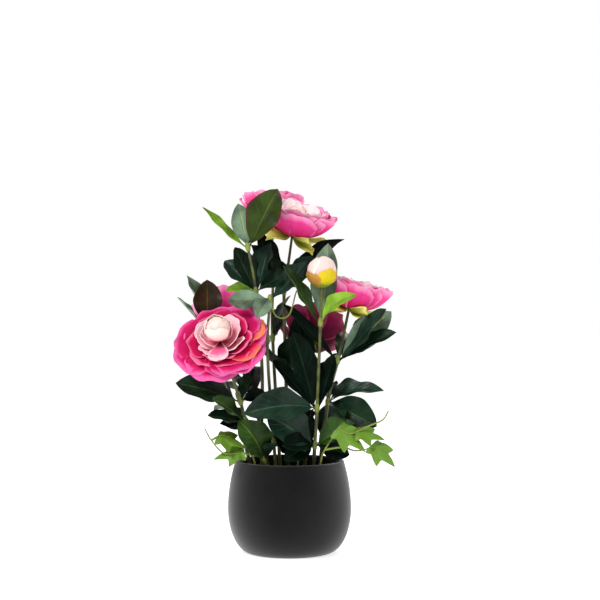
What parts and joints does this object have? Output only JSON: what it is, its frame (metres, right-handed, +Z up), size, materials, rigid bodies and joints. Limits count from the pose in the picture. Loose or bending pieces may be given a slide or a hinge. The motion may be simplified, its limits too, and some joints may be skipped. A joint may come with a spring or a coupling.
{
  "type": "artificial camellia in a pot",
  "caption": "Potted artificial camellia for a shelf or table: pink open blooms and a bud on wired stems with glossy dark leaves, in a rounded matte black pot.",
  "frame": {"origin": "centre of the pot's flat underside", "axes": "+Z up; -Y towards the front, the side with the large open bloom; +X to the viewer's right"},
  "size_m": [0.2336, 0.1913, 0.3938],
  "materials": {
    "pot": "matte",
    "filling": "matte",
    "stem": "matte",
    "leaf": "satin",
    "petal": "matte",
    "sprig": "matte"
  },
  "bodies": {
    "root": {"pot": "pot", "filling": "filling", "stem_bud": "stem", "stem_right": "stem", "stem_top": "stem", "stem_left": "stem", "stem_middle": "stem", "stem_front": "stem", "stem_shade": "stem", "stem_side": "stem", "stem_back": "stem", "stem_peak": "stem", "leaves_left_high": "leaf", "leaves_left_low": "leaf", "leaves_middle": "leaf", "leaves_middle_foot": "leaf", "leaves_top_high": "leaf", "leaves_top_low": "leaf", "leaves_top_foot": "leaf", "leaves_left_foot": "leaf", "leaves_bud_high": "leaf", "leaves_bud_low": "leaf", "leaves_bud_foot": "leaf", "leaves_right_high": "leaf", "leaves_right_low": "leaf", "leaves_front_high": "leaf", "leaves_front_low": "leaf", "leaves_front_foot": "leaf", "leaves_side": "leaf", "leaves_shade": "leaf", "leaves_back": "leaf", "leaves_peak": "leaf", "leaves_peak_low": "leaf", "bloom_front": "petal", "bloom_top": "petal", "bloom_right": "petal", "bloom_shade": "petal", "bloom_back": "petal", "bloom_peak": "petal", "bud": "petal", "sprig_right": "sprig", "sprig_left": "sprig", "sprig_back": "sprig"}
  },
  "joints": []
}
